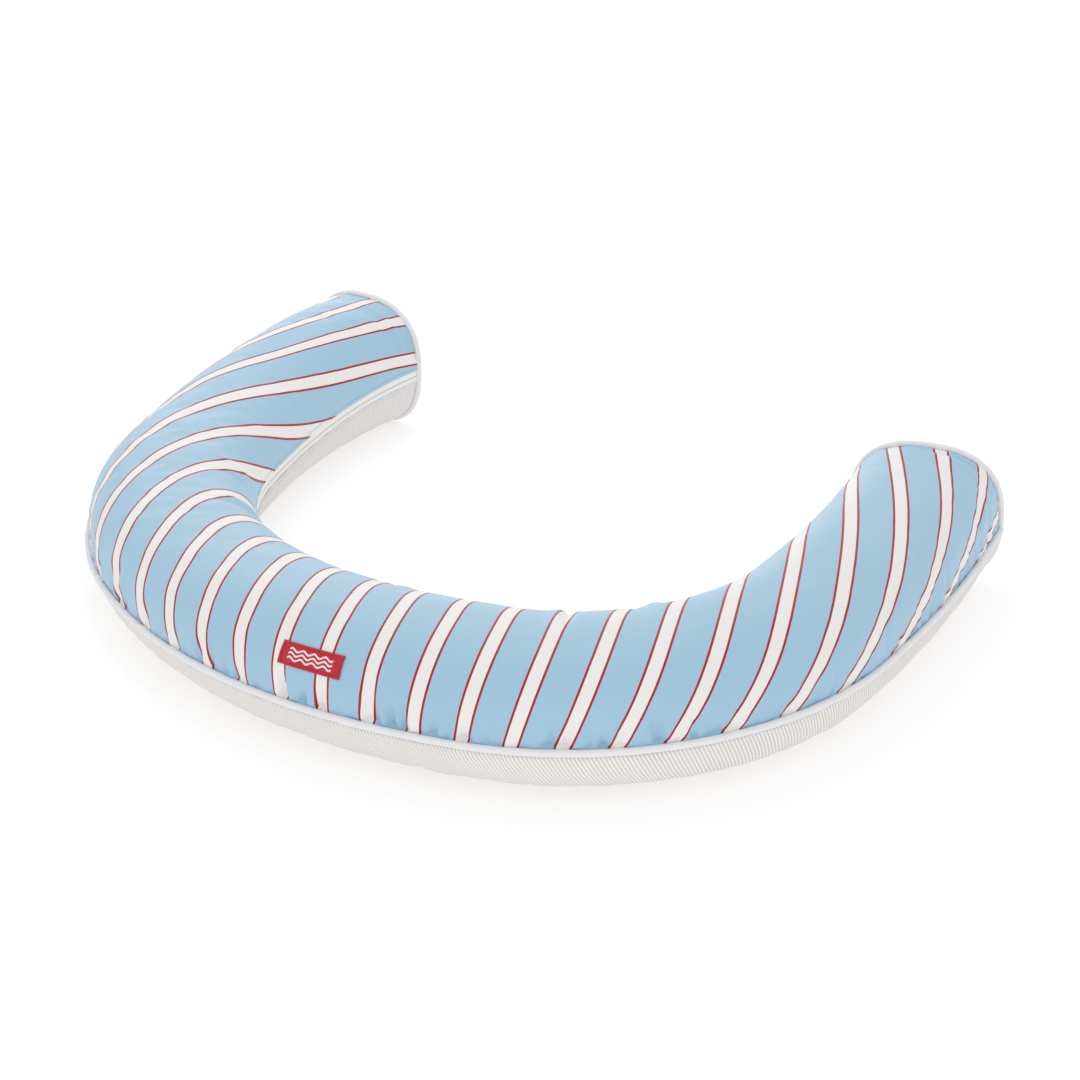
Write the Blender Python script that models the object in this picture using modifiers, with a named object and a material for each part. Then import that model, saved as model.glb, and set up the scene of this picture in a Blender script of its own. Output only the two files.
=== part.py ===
"""Nursing pillow: a C-shaped stuffed bolster that lies flat on the floor.

A loose zipped cover holds a fibre-filled inner pillow. The cover is a striped top panel, a mesh
base panel and a disc over each end, with a corded piping in the outer seam and round both discs.
The zip runs in the inner seam, from the left end to the far side of the left bend.

Every long piece is a sheet or a tube laid along one centre line of five arcs. The line starts at
the left end and turns left all the way, so the outer side is on its right. Metres, +Z up.
"""
from math import asin, atan2, cos, pi, radians, sin

import bmesh
import bpy
from mathutils import Matrix, Vector

# Centre line: five tangent arcs from the left end to the right end.
START_HEADING = radians(260.7)
ARC_LENGTHS = (0.400, 0.280, 0.460, 0.375, 0.360)
ARC_RADII = (0.940, 0.410, 0.570, 0.280, 1.720)
LENGTH = sum(ARC_LENGTHS)

# Cross section at the six arc ends: a rounded box shape between an ellipse and a rectangle.
HALF_WIDTHS = (0.087, 0.094, 0.094, 0.095, 0.085, 0.086)
HALF_HEIGHTS = (0.082, 0.068, 0.068, 0.075, 0.079, 0.079)
SQUARENESS = 0.79
FLOOR_SAG = 0.02

# Layers, as depths below the cover's outer surface.
TOP_CLOTH = 0.0015
BASE_MESH = 0.0025
CASING_DEPTH = 0.0060
CASING_CLOTH = 0.0010
FILL_DEPTH = 0.0085
END_MARGIN = 0.012
SEAM_GAP = 0.0006
GATHER_SCALES = (0.05, 0.60, 0.93)
FILL_END_SCALE = 0.60

# Piping: a woven sleeve round a cord, in the outer seam and round each end.
SEAM_SHARE = 0.43
PIPING_RADIUS = 0.0038
SLEEVE_CLOTH = 0.0007
CORD_RADIUS = 0.0023
PIPING_PROUD = 0.0015
PIPING_NOTCH = 0.0046
RING_TURN = radians(358)
END_BULGE = 0.006

# Zip in the inner seam, along the first arc and most of the second.
ZIP_EDGE_AT_TIP = 0.082
ZIP_EDGE = 0.074
ZIP_END = 0.668
UPPER_TAPE = 0.0080
LOWER_TAPE = 0.0060
TAPE_THICKNESS = 0.0007
TAPE_SLOT = 0.0016
TAPE_MARGIN = 0.0006
COIL_WIDTH = 0.0022
COIL_THICKNESS = 0.0016
COIL_DEPTH = 0.0010
COIL_START = 0.012
STOP_LENGTH = 0.003
CLOSING_STRETCH = 0.030

# Slider and pull tab.
SLIDER_LENGTH = 0.011
SLIDER_HEIGHT = 0.009
SLIDER_PLATE = 0.0011
SLIDER_BACK = 0.0008
SLIDER_RIM = 0.0008
SLIDER_POST = 0.0009
POST_LENGTH = 0.004
SLIDER_CLEARANCE = 0.0003
SLIDER_FROM_ZIP_END = 0.018
ARCH_INSET = 0.001
ARCH_WIDTH = 0.0016
ARCH_THICKNESS = 0.0010
PULL_AXIS_LIFT = 0.0011
TAB_LENGTH = 0.024
TAB_WIDTH = 0.0060
TAB_THICKNESS = 0.0010
TAB_BAR = 0.0012
SLOT_LENGTH = 0.0075
SLOT_WIDTH = 0.0028
CORNER_SHARE = 0.35

# Woven label on the top cover, near the outer seam.
LABEL_FROM = 0.970
LABEL_TO = 1.036
LABEL_LOW = radians(19)
LABEL_HIGH = radians(38)
LABEL_THICKNESS = 0.0008

# Facets of the long pieces.
TOP_STEPS = 10
BASE_STEPS = 12
CASING_STEPS = 8
STATION_PITCH = 0.045
ZIP_PITCH = 0.020
RING_POINTS = 25
DISC_RINGS = 3
CORNER_STEPS = 3
PLAN_STEPS = 400


def material(name, color, roughness, metallic=0.0):
    made = bpy.data.materials.new(name)
    made.use_nodes = True
    shader = made.node_tree.nodes["Principled BSDF"]
    shader.inputs["Base Color"].default_value = (*color, 1.0)
    shader.inputs["Roughness"].default_value = roughness
    shader.inputs["Metallic"].default_value = metallic
    return made


def eased(start, end, share):
    share = min(max(share, 0.0), 1.0)
    return start + (end - start) * share * share * (3 - 2 * share)


def profile(values, s):
    """Value at length s along the centre line, eased between the values at the arc ends."""
    for start, end, length in zip(values, values[1:], ARC_LENGTHS):
        if s <= length:
            return eased(start, end, s / length)
        s -= length
    return values[-1]


def arc_start(index):
    """Point and heading where one of the centre line's arcs starts."""
    point = Vector((0.0, 0.0))
    heading = START_HEADING
    for length, radius in zip(ARC_LENGTHS[:index], ARC_RADII[:index]):
        point, heading = arc_point(point, heading, radius, length)
    return point, heading


def arc_point(point, heading, radius, length):
    turned = heading + length / radius
    across = Vector((sin(turned) - sin(heading), cos(heading) - cos(turned)))
    return point + radius * across, turned


def centre_line(s):
    """Point and heading at length s along the centre line, which starts at (0, 0)."""
    index = 0
    while index < len(ARC_LENGTHS) - 1 and s > ARC_LENGTHS[index]:
        s -= ARC_LENGTHS[index]
        index += 1
    point, heading = arc_start(index)
    return arc_point(point, heading, ARC_RADII[index], s)


def plan_centre():
    """Middle of the plan's bounding box, from points on both sides of the centre line."""
    points = []
    for step in range(PLAN_STEPS + 1):
        s = LENGTH * step / PLAN_STEPS
        point, heading = centre_line(s)
        reach = profile(HALF_WIDTHS, s) + PIPING_PROUD + PIPING_RADIUS
        outward = Vector((sin(heading), -cos(heading)))
        points += [point + reach * outward, point - (reach - PIPING_PROUD) * outward]
    middle_x = (min(p.x for p in points) + max(p.x for p in points)) / 2
    middle_y = (min(p.y for p in points) + max(p.y for p in points)) / 2
    return Vector((middle_x, middle_y))


PLAN_CENTRE = plan_centre()


def place(s, outward, height):
    """World point at length s, a distance to the outer side and a height over the floor."""
    point, heading = centre_line(s)
    point = point - PLAN_CENTRE + outward * Vector((sin(heading), -cos(heading)))
    return Vector((point.x, point.y, height))


def signed_power(value, power):
    return abs(value) ** power * (1 if value >= 0 else -1)


def middle_height(s):
    return profile(HALF_HEIGHTS, s) * (1 - FLOOR_SAG)


def section(s, angle, depth=0.0, scale=1.0, lowest=0.0):
    """Outward distance and height of the section; angle 0 is outward and 90 degrees up."""
    half_width = (profile(HALF_WIDTHS, s) - depth) * scale
    half_height = (profile(HALF_HEIGHTS, s) - depth) * scale
    outward = half_width * signed_power(cos(angle), SQUARENESS)
    height = middle_height(s) + half_height * signed_power(sin(angle), SQUARENESS)
    return outward, max(height, lowest + depth)


def angle_at(s, height):
    """Angle on the outer side where the section has the given height."""
    share = (height - middle_height(s)) / profile(HALF_HEIGHTS, s)
    return asin(signed_power(share, 1 / SQUARENESS))


def seam_height(s):
    return SEAM_SHARE * profile(HALF_HEIGHTS, s) * (2 - FLOOR_SAG)


def zip_edge_height(s):
    return eased(ZIP_EDGE_AT_TIP, ZIP_EDGE, s / ARC_LENGTHS[0])


def zip_centre_height(s):
    return zip_edge_height(s) - UPPER_TAPE - TAPE_SLOT / 2


def zip_opening(s):
    """Share of the full zip width that stands open between the two panels."""
    return 1 - eased(0, 1, (s - ZIP_END) / CLOSING_STRETCH)


def upper_edge_height(s):
    closed = zip_centre_height(s) + SEAM_GAP / 2
    return closed + (zip_edge_height(s) + TAPE_MARGIN - closed) * zip_opening(s)


def lower_edge_height(s):
    closed = zip_centre_height(s) - SEAM_GAP / 2
    full = TAPE_SLOT / 2 + LOWER_TAPE + TAPE_MARGIN
    return closed - (full - SEAM_GAP / 2) * zip_opening(s)


def wall(s):
    """Distance from the centre line to the inner wall, at the zip's height."""
    return section(s, angle_at(s, zip_centre_height(s)))[0]


def stations(stops, pitch):
    """Lengths along the centre line, evenly spaced between each pair of stops."""
    lengths = [stops[0]]
    for start, end in zip(stops, stops[1:]):
        count = max(1, round((end - start) / pitch))
        lengths += [start + (end - start) * step / count for step in range(1, count + 1)]
    return lengths


COVER_STATIONS = stations(
    (PIPING_NOTCH, ZIP_END, ZIP_END + CLOSING_STRETCH, LENGTH - PIPING_NOTCH), STATION_PITCH)


def spread(breaks, share):
    """Value at a share of the way through a list of breaks, with equal room for each stretch."""
    place_in_list = share * (len(breaks) - 1)
    index = min(int(place_in_list), len(breaks) - 2)
    return breaks[index] + (breaks[index + 1] - breaks[index]) * (place_in_list - index)


def add_object(name, data, look, location=(0.0, 0.0, 0.0), parent=None):
    made = bpy.data.objects.new(name, data)
    pillow.objects.link(made)
    made.location = location
    made.parent = parent
    data.materials.append(look)
    return made


def grid_mesh(name, rows, columns, locate, close_round=False):
    """Mesh grid whose vertices are laid out by locate(row, share of the way round)."""
    mesh = bpy.data.meshes.new(name)
    bm = bmesh.new()
    bmesh.ops.create_grid(bm, x_segments=rows - 1, y_segments=columns, size=0.5)
    for vertex in bm.verts:
        row = round((vertex.co.x + 0.5) * (rows - 1))
        vertex.co = locate(row, vertex.co.y + 0.5)
    if close_round:
        bmesh.ops.remove_doubles(bm, verts=bm.verts, dist=1e-6)
        bmesh.ops.holes_fill(bm, edges=bm.edges, sides=0)
        bmesh.ops.recalc_face_normals(bm, faces=bm.faces)
    bm.to_mesh(mesh)
    bm.free()
    mesh.shade_smooth()
    return mesh


def thicken(thing, thickness):
    solid = thing.modifiers.new("Thickness", "SOLIDIFY")
    solid.thickness = thickness
    solid.offset = -1
    solid.use_even_offset = True
    return thing


def cover_panel(name, look, breaks, steps, thickness):
    """Sheet on the outer surface, between angles that breaks(s) lists in their order."""
    def locate(row, share):
        s = COVER_STATIONS[row]
        return place(s, *section(s, spread(breaks(s), share)))
    mesh = grid_mesh(name, len(COVER_STATIONS), steps, locate)
    thicken(add_object(name, mesh, look), thickness)


def make_top_cover(look):
    def breaks(s):
        outer_edge = angle_at(s, seam_height(s) + PIPING_NOTCH)
        inner_edge = pi - angle_at(s, upper_edge_height(s))
        return outer_edge, inner_edge
    cover_panel("top_cover", look, breaks, TOP_STEPS, TOP_CLOTH)


def flat_edges():
    """Angles between which the section rests on the floor."""
    lift = asin((1 - FLOOR_SAG) ** (1 / SQUARENESS))
    return pi + lift, 2 * pi - lift


def make_base_cover(look):
    def breaks(s):
        inner_edge = pi - angle_at(s, lower_edge_height(s))
        outer_edge = 2 * pi + angle_at(s, seam_height(s) - PIPING_NOTCH)
        first_flat, last_flat = flat_edges()
        return inner_edge, first_flat, last_flat, outer_edge
    cover_panel("base_cover", look, breaks, BASE_STEPS, BASE_MESH)


def end_rows(depth):
    """Stations of a closed inner layer with their scales: full along the arm, small at the ends."""
    start = END_MARGIN + depth
    along = stations((start, LENGTH - start), STATION_PITCH)
    rows = [(start, scale) for scale in GATHER_SCALES]
    rows += [(s, 1.0) for s in along[1:-1]]
    rows += [(LENGTH - start, scale) for scale in reversed(GATHER_SCALES)]
    return rows


def make_casing(name, look, first_angle, last_angle):
    """One half of the inner casing, gathered in at both ends."""
    rows = end_rows(CASING_DEPTH)

    def locate(row, share):
        s, scale = rows[row]
        angle = first_angle + (last_angle - first_angle) * share
        return place(s, *section(s, angle, CASING_DEPTH, scale))
    mesh = grid_mesh(name, len(rows), CASING_STEPS, locate)
    thicken(add_object(name, mesh, look), CASING_CLOTH)


def make_fill(look):
    rows = end_rows(FILL_DEPTH)

    def locate(row, share):
        s, scale = rows[row]
        return place(s, *section(s, 2 * pi * share, FILL_DEPTH, max(scale, FILL_END_SCALE)))
    mesh = grid_mesh("fibre_fill", len(rows), 2 * CASING_STEPS, locate, True)
    add_object("fibre_fill", mesh, look)


def tube(name, look, points, radius, sides, filled):
    """Round tube along a list of points; sides is 6 or 8."""
    curve = bpy.data.curves.new(name, "CURVE")
    curve.dimensions = "3D"
    curve.bevel_depth = radius
    curve.bevel_resolution = (sides - 4) // 2
    curve.use_fill_caps = filled
    spline = curve.splines.new("POLY")
    spline.points.add(len(points) - 1)
    for point, place_on_line in zip(spline.points, points):
        point.co = (*place_on_line, 1.0)
    return add_object(name, curve, look)


def make_piping(name, points, sleeve_look, cord_look):
    """Piping along a line: a hollow woven sleeve with a cord in it."""
    thicken(tube(name, sleeve_look, points, PIPING_RADIUS, 8, False), SLEEVE_CLOTH)
    tube(name + "_cord", cord_look, points, CORD_RADIUS, 6, True)


def outer_seam_points():
    points = []
    for s in COVER_STATIONS:
        height = seam_height(s)
        outward = section(s, angle_at(s, height))[0]
        points.append(place(s, outward + PIPING_PROUD, height))
    return points


def end_ring_points(s):
    """Corner line round one end, from its lowest point and back to just before it."""
    points = []
    for step in range(RING_POINTS):
        angle = -pi / 2 + RING_TURN * step / (RING_POINTS - 1)
        points.append(place(s, *section(s, angle, lowest=PIPING_RADIUS + SEAM_GAP)))
    return points


def make_end_disc(name, look, s, direction):
    """Cloth disc inside an end's piping, a little domed; direction is 1 at the right end."""
    heading = centre_line(s)[1]
    along = direction * Vector((cos(heading), sin(heading), 0.0))

    def locate(row, share):
        reach = 1 - row / DISC_RINGS
        angle = direction * 2 * pi * share
        outward, height = section(s, angle, PIPING_NOTCH + SEAM_GAP, reach, PIPING_RADIUS)
        bulge = END_BULGE * (1 - reach ** 2)
        return place(s, outward, height) + along * bulge
    mesh = grid_mesh(name, DISC_RINGS + 1, RING_POINTS - 1, locate)
    bm = bmesh.new()
    bm.from_mesh(mesh)
    bmesh.ops.remove_doubles(bm, verts=bm.verts, dist=1e-5)
    bm.to_mesh(mesh)
    bm.free()
    thicken(add_object(name, mesh, look), TOP_CLOTH)


def zip_strip(name, look, lengths, upper, lower, depth, thickness):
    """Upright strip in the inner wall, between two heights over the zip's centre."""
    def locate(row, share):
        s = lengths[row]
        height = zip_centre_height(s) + upper + (lower - upper) * share
        return place(s, depth - wall(s), height)
    mesh = grid_mesh(name, len(lengths), 1, locate)
    thicken(add_object(name, mesh, look), thickness)


def make_zip(tape_look, coil_look, stop_look):
    half_slot = TAPE_SLOT / 2
    bend = ARC_LENGTHS[0]
    tape_run = stations((PIPING_NOTCH + SEAM_GAP, bend, ZIP_END), ZIP_PITCH)
    coil_run = stations((COIL_START, bend, ZIP_END - STOP_LENGTH - SEAM_GAP), ZIP_PITCH)
    zip_strip("zip_tape_upper", tape_look, tape_run, half_slot + UPPER_TAPE, half_slot,
              0.0, TAPE_THICKNESS)
    zip_strip("zip_tape_lower", tape_look, tape_run, -half_slot, -half_slot - LOWER_TAPE,
              0.0, TAPE_THICKNESS)
    zip_strip("zip_coil_upper", coil_look, coil_run, half_slot + COIL_WIDTH, half_slot,
              COIL_DEPTH, COIL_THICKNESS)
    zip_strip("zip_coil_lower", coil_look, coil_run, -half_slot, -half_slot - COIL_WIDTH,
              COIL_DEPTH, COIL_THICKNESS)
    first_stop = (COIL_START - SEAM_GAP - STOP_LENGTH, COIL_START - SEAM_GAP)
    last_stop = (ZIP_END - STOP_LENGTH, ZIP_END)
    edge = half_slot + COIL_WIDTH
    zip_strip("zip_bottom_stop", stop_look, first_stop, edge, -edge, COIL_DEPTH, COIL_THICKNESS)
    zip_strip("zip_top_stop_upper", stop_look, last_stop, edge, half_slot, COIL_DEPTH, COIL_THICKNESS)
    zip_strip("zip_top_stop_lower", stop_look, last_stop, -half_slot, -edge, COIL_DEPTH,
              COIL_THICKNESS)


def block_mesh(name, centre, size):
    mesh = bpy.data.meshes.new(name)
    bm = bmesh.new()
    spot = Matrix.Translation(centre) @ Matrix.Diagonal((*size, 1.0))
    bmesh.ops.create_cube(bm, size=1.0, matrix=spot)
    bm.to_mesh(mesh)
    bm.free()
    return mesh


def join_blocks(thing, blocks):
    """Joins blocks, given as a centre and a size, onto an object by Boolean union."""
    for index, (centre, size) in enumerate(blocks):
        name = f"{thing.name}_cutter_{index}"
        cutter = bpy.data.objects.new(name, block_mesh(name, centre, size))
        cutters.objects.link(cutter)
        cutter.parent = thing.parent
        cutter.location = thing.location
        cutter.hide_render = True
        cutter.display_type = "WIRE"
        union = thing.modifiers.new(f"Join {index}", "BOOLEAN")
        union.operation = "UNION"
        union.solver = "EXACT"
        union.object = cutter


def slider_frame():
    """Empty at the bend's centre, turned so that +X points at the slider and +Y along the zip."""
    slider_at = ZIP_END - SLIDER_FROM_ZIP_END
    point, heading = arc_start(1)
    centre = point + ARC_RADII[1] * Vector((-sin(heading), cos(heading))) - PLAN_CENTRE
    slider_spot = place(slider_at, -wall(slider_at), zip_centre_height(slider_at))
    arm = slider_spot.xy - centre
    frame = bpy.data.objects.new("zip_track_centre", None)
    pillow.objects.link(frame)
    frame.location = (centre.x, centre.y, slider_spot.z)
    frame.rotation_euler = (0.0, 0.0, atan2(arm.y, arm.x))
    return frame, arm.length


def make_slider(look, frame, track_radius):
    """Slider: a plate on each side of the tapes, a post in their slot, rims and a pull arch."""
    front = -SLIDER_CLEARANCE
    back = COIL_DEPTH + COIL_THICKNESS + SLIDER_CLEARANCE
    axis_x = front - SLIDER_PLATE - PULL_AXIS_LIFT
    arch_x = axis_x - PULL_AXIS_LIFT - ARCH_THICKNESS / 2
    arch_y = SLIDER_LENGTH / 2 - ARCH_INSET
    rim_z = TAPE_SLOT / 2 + COIL_WIDTH + SLIDER_CLEARANCE + SLIDER_RIM / 2
    mesh = block_mesh("zip_slider", (front - SLIDER_PLATE / 2, 0, 0),
                      (SLIDER_PLATE, SLIDER_LENGTH, SLIDER_HEIGHT))
    slider = add_object("zip_slider", mesh, look, (track_radius, 0, 0), frame)
    back_middle = back + SLIDER_BACK / 2
    blocks = [((back_middle, 0, 0), (SLIDER_BACK, SLIDER_LENGTH, SLIDER_HEIGHT))]
    post_depth = back - front + SLIDER_PLATE
    post_centre = front + (post_depth - SLIDER_PLATE) / 2
    blocks.append(((post_centre, 0, 0), (post_depth, POST_LENGTH, SLIDER_POST)))
    rim_depth = back_middle - TAPE_THICKNESS - SLIDER_CLEARANCE
    rim_centre = back_middle - rim_depth / 2
    leg_depth = front - arch_x
    leg_centre = (front - SLIDER_PLATE / 2 + arch_x) / 2
    for side in (-1, 1):
        blocks.append(((rim_centre, 0, side * rim_z), (rim_depth, SLIDER_LENGTH, SLIDER_RIM)))
        blocks.append(((leg_centre, side * arch_y, 0), (leg_depth, ARCH_THICKNESS, ARCH_WIDTH)))
    arch_length = 2 * arch_y + ARCH_THICKNESS
    blocks.append(((arch_x, 0, 0), (ARCH_THICKNESS, arch_length, ARCH_WIDTH)))
    join_blocks(slider, blocks)
    return axis_x


def rounded_outline(curve, y_from, y_to, width):
    """Closed outline with round corners, between two lengths and with a given width."""
    radius = width * CORNER_SHARE
    spline = curve.splines.new("POLY")
    spline.use_cyclic_u = True
    corners = ((y_to - radius, width / 2 - radius, 0), (y_from + radius, width / 2 - radius, 90))
    corners += ((y_from + radius, radius - width / 2, 180), (y_to - radius, radius - width / 2, 270))
    points = []
    for y, x, start in corners:
        for step in range(CORNER_STEPS + 1):
            angle = radians(start + 90 * step / CORNER_STEPS)
            points.append((x + radius * sin(angle), y + radius * cos(angle)))
    spline.points.add(len(points) - 1)
    for point, (x, y) in zip(spline.points, points):
        point.co = (x, y, 0.0, 1.0)


def make_pull_tab(look, frame, track_radius, axis_x):
    """Flat tab whose slot rides round the slider's arch; its origin is its own pivot."""
    curve = bpy.data.curves.new("zip_pull_tab", "CURVE")
    curve.dimensions = "2D"
    curve.fill_mode = "BOTH"
    curve.extrude = TAB_THICKNESS / 2
    rounded_outline(curve, TAB_BAR / 2 - TAB_LENGTH, TAB_BAR / 2, TAB_WIDTH)
    rounded_outline(curve, -TAB_BAR / 2 - SLOT_LENGTH, -TAB_BAR / 2, SLOT_WIDTH)
    tab = add_object("zip_pull_tab", curve, look, (track_radius + axis_x, 0, 0), frame)
    tab.rotation_euler = (0.0, radians(90), 0.0)


def make_label(look):
    """Woven label laid on the top cover."""
    lengths = stations((LABEL_FROM, LABEL_TO), STATION_PITCH / 3)

    def locate(row, share):
        angle = LABEL_LOW + (LABEL_HIGH - LABEL_LOW) * share
        outward, height = section(lengths[row], angle, -LABEL_THICKNESS - SEAM_GAP)
        return place(lengths[row], outward, height)
    mesh = grid_mesh("woven_label", len(lengths), 3, locate)
    thicken(add_object("woven_label", mesh, look), LABEL_THICKNESS)


for leftover in list(bpy.data.objects):
    bpy.data.objects.remove(leftover)
pillow = bpy.data.collections.new("Nursing pillow")
cutters = bpy.data.collections.new("Cutters")
bpy.context.scene.collection.children.link(pillow)
bpy.context.scene.collection.children.link(cutters)

striped_cloth = material("striped_cloth", (0.36, 0.54, 0.69), 0.70)
spacer_mesh = material("spacer_mesh", (0.75, 0.73, 0.70), 0.85)
piping_cloth = material("piping_cloth", (0.78, 0.78, 0.81), 0.75)
cord_core = material("cord_core", (0.85, 0.84, 0.80), 0.85)
zip_tape = material("zip_tape", (0.76, 0.75, 0.72), 0.80)
zip_coil = material("zip_coil", (0.70, 0.70, 0.68), 0.40)
zip_metal = material("zip_metal", (0.80, 0.80, 0.80), 0.30, 0.6)
label_weave = material("label_weave", (0.57, 0.02, 0.04), 0.65)
casing_cloth = material("casing_cloth", (0.85, 0.85, 0.83), 0.80)
fibre = material("fibre", (0.90, 0.90, 0.88), 0.95)

make_top_cover(striped_cloth)
make_base_cover(spacer_mesh)
make_end_disc("end_disc_left", striped_cloth, 0.0, -1)
make_end_disc("end_disc_right", striped_cloth, LENGTH, 1)
make_piping("outer_piping", outer_seam_points(), piping_cloth, cord_core)
make_piping("end_piping_left", end_ring_points(0.0), piping_cloth, cord_core)
make_piping("end_piping_right", end_ring_points(LENGTH), piping_cloth, cord_core)
make_casing("casing_upper", casing_cloth, radians(2), radians(178))
make_casing("casing_lower", casing_cloth, radians(182), radians(358))
make_fill(fibre)
make_zip(zip_tape, zip_coil, zip_metal)
track_frame, zip_radius = slider_frame()
pull_axis = make_slider(zip_metal, track_frame, zip_radius)
make_pull_tab(zip_metal, track_frame, zip_radius, pull_axis)
make_label(label_weave)
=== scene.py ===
"""Looks of the nursing pillow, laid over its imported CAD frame. Metres, +Z up.

Every cloth piece is a grid on the same C-shaped tube as the CAD. s is the length along the centre
line from the left end. Girth is the length round the section, 0 at the crest, positive outward.
"""

from math import pi, radians

import bpy
import numpy as np
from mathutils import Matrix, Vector


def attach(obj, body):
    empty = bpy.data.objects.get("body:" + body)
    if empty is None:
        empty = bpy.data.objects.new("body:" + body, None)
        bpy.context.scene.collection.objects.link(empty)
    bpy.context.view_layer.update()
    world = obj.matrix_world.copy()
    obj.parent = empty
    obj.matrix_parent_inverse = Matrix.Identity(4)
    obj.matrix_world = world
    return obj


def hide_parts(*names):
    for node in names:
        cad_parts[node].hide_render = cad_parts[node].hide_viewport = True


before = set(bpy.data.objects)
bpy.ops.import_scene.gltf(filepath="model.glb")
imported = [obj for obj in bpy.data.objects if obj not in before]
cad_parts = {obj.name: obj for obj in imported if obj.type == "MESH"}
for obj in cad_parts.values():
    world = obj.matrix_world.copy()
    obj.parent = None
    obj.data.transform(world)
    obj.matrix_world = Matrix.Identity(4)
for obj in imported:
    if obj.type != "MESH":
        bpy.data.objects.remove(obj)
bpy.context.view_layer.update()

# The CAD's own driving dimensions.
START_HEADING = radians(260.7)
ARC_LENGTHS = np.array((0.400, 0.280, 0.460, 0.375, 0.360))
ARC_RADII = np.array((0.940, 0.410, 0.570, 0.280, 1.720))
HALF_WIDTHS = np.array((0.087, 0.094, 0.094, 0.095, 0.085, 0.086))
HALF_HEIGHTS = np.array((0.082, 0.068, 0.068, 0.075, 0.079, 0.079))
SQUARENESS = 0.79
FLOOR_SAG = 0.02
SEAM_SHARE = 0.43
PIPING_RADIUS = 0.0038
PIPING_PROUD = 0.0015
END_BULGE = 0.006
ZIP_EDGE_AT_TIP = 0.082
ZIP_EDGE = 0.074
ZIP_END = 0.668
CLOSING_STRETCH = 0.030
UPPER_TAPE = 0.0080
LOWER_TAPE = 0.0060
TAPE_SLOT = 0.0016
LABEL_FROM = 0.970
LABEL_TO = 1.036
LABEL_LOW = radians(19)
LABEL_HIGH = radians(38)

KNOTS = np.concatenate([[0.0], np.cumsum(ARC_LENGTHS)])
LENGTH = KNOTS[-1]

# The printed cloth. These set how its stripes turn along the arms, and how they bow, twist and are
# pulled on the way. They were fitted to the real pillow's stripes; they aren't a cutting pattern.
STRIPE_PITCH = 0.0531
STRIPE_SHIFT = -2.33
STRIPE_HEADING = radians(-80.4)
STRIPE_TURNS = np.array((0.76, 1.02, 1.53, 3.40, 0.22))
STRIPE_BOW = np.array((0.006, -0.040, -0.031, -0.0015, 0.002, 0.0))
STRIPE_TWIST = np.array((0.0025, -0.026, 0.033, 0.017, -0.0055, 0.010))
STRIPE_PULL = 0.052
PULL_S, PULL_S_REACH = 0.307, 0.158
PULL_GIRTH, PULL_GIRTH_REACH = 0.100, 0.100
BOW_REACH = 0.15
WHITE_HALF = 0.0065
RED_HALF = 0.0090
RIM_SHIFT = 0.0035
RIM_SHIFT_LENGTH = 0.016
RIM_SHIFT_FROM, RIM_SHIFT_FADE = 0.015, 0.03

# Seams: widths of the valleys at a corded seam and at the plain inner one, how far the covers stop
# from the outer seam's line and from the ends, and how far the stitches run from each cover's edge.
SEAM_VALLEY, PLAIN_SEAM_VALLEY = 0.0050, 0.0055
EDGE_FROM_SEAM, EDGE_FROM_END = 0.0012, 0.0008
TOP_ZIP_STITCH, BASE_ZIP_STITCH, SEAM_STITCH = 0.0040, 0.0046, 0.0058
STITCHES_FROM_END = 0.008

# The drawn zip tapes: half the slot between them, their thickness, and how deep their end goes under.
TAPE_GAP, TAPE_SHEET, TAPE_END_DEPTH = 0.00025, 0.0005, 0.0045

# How far an end disc's edge lies inside its end's outline.
DISC_INSET = 0.0026

# The label: its thickness, how high it and its stitches lie over the cover, and how far its folded
# border, its stitches and the groove that they press run in from its edge.
LABEL_THICKNESS, LABEL_LIFT, LABEL_STITCH_LIFT = 0.0012, 0.0013, 0.0017
LABEL_BORDER, LABEL_STITCH, LABEL_GROOVE = 0.0022, 0.0024, 0.0028

# Grids: pitch of the rows and number of columns, finished and simulated, and how much closer the
# finished columns stand at both edges.
ROW_PITCH = 0.0025
TOP_COLUMNS = 96
BASE_ROW_PITCH = 0.0045
BASE_COLUMNS = 72
SIM_PITCH = 0.0060
SIM_COLUMNS = 40
EDGE_CROWDING = 0.7

# Simulation: its frames and pressure, smoothing passes that find its broad swelling, and the most
# that it may move each cover.
SIM_FRAMES = 20
STUFFING_PRESSURE = 2.0
SWELL_PASSES = 60
TOP_CREASE, BASE_CREASE = 0.0006, 0.0008


# ---------------------------------------------------------------- the tube

def arc_starts():
    """Point and heading where each arc of the centre line starts."""
    starts = [(0.0, 0.0, START_HEADING)]
    for length, radius in zip(ARC_LENGTHS, ARC_RADII):
        x, y, heading = starts[-1]
        turned = heading + length / radius
        x += radius * (np.sin(turned) - np.sin(heading))
        y += radius * (np.cos(heading) - np.cos(turned))
        starts.append((x, y, turned))
    return np.array(starts[:-1])


STARTS = arc_starts()


def arc_index(s):
    return np.clip(np.searchsorted(KNOTS, s, side="right") - 1, 0, len(ARC_LENGTHS) - 1)


def profile(values, s):
    """Value at s, eased between the values at the arc ends."""
    index = arc_index(s)
    share = np.clip((s - KNOTS[index]) / ARC_LENGTHS[index], 0, 1)
    return values[index] + (values[index + 1] - values[index]) * share ** 2 * (3 - 2 * share)


def centre_line(s):
    index = arc_index(s)
    x, y, heading = np.moveaxis(STARTS[index], -1, 0)
    radius = ARC_RADII[index]
    turned = heading + (s - KNOTS[index]) / radius
    x = x + radius * (np.sin(turned) - np.sin(heading))
    y = y + radius * (np.cos(heading) - np.cos(turned))
    return x, y, turned


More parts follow.
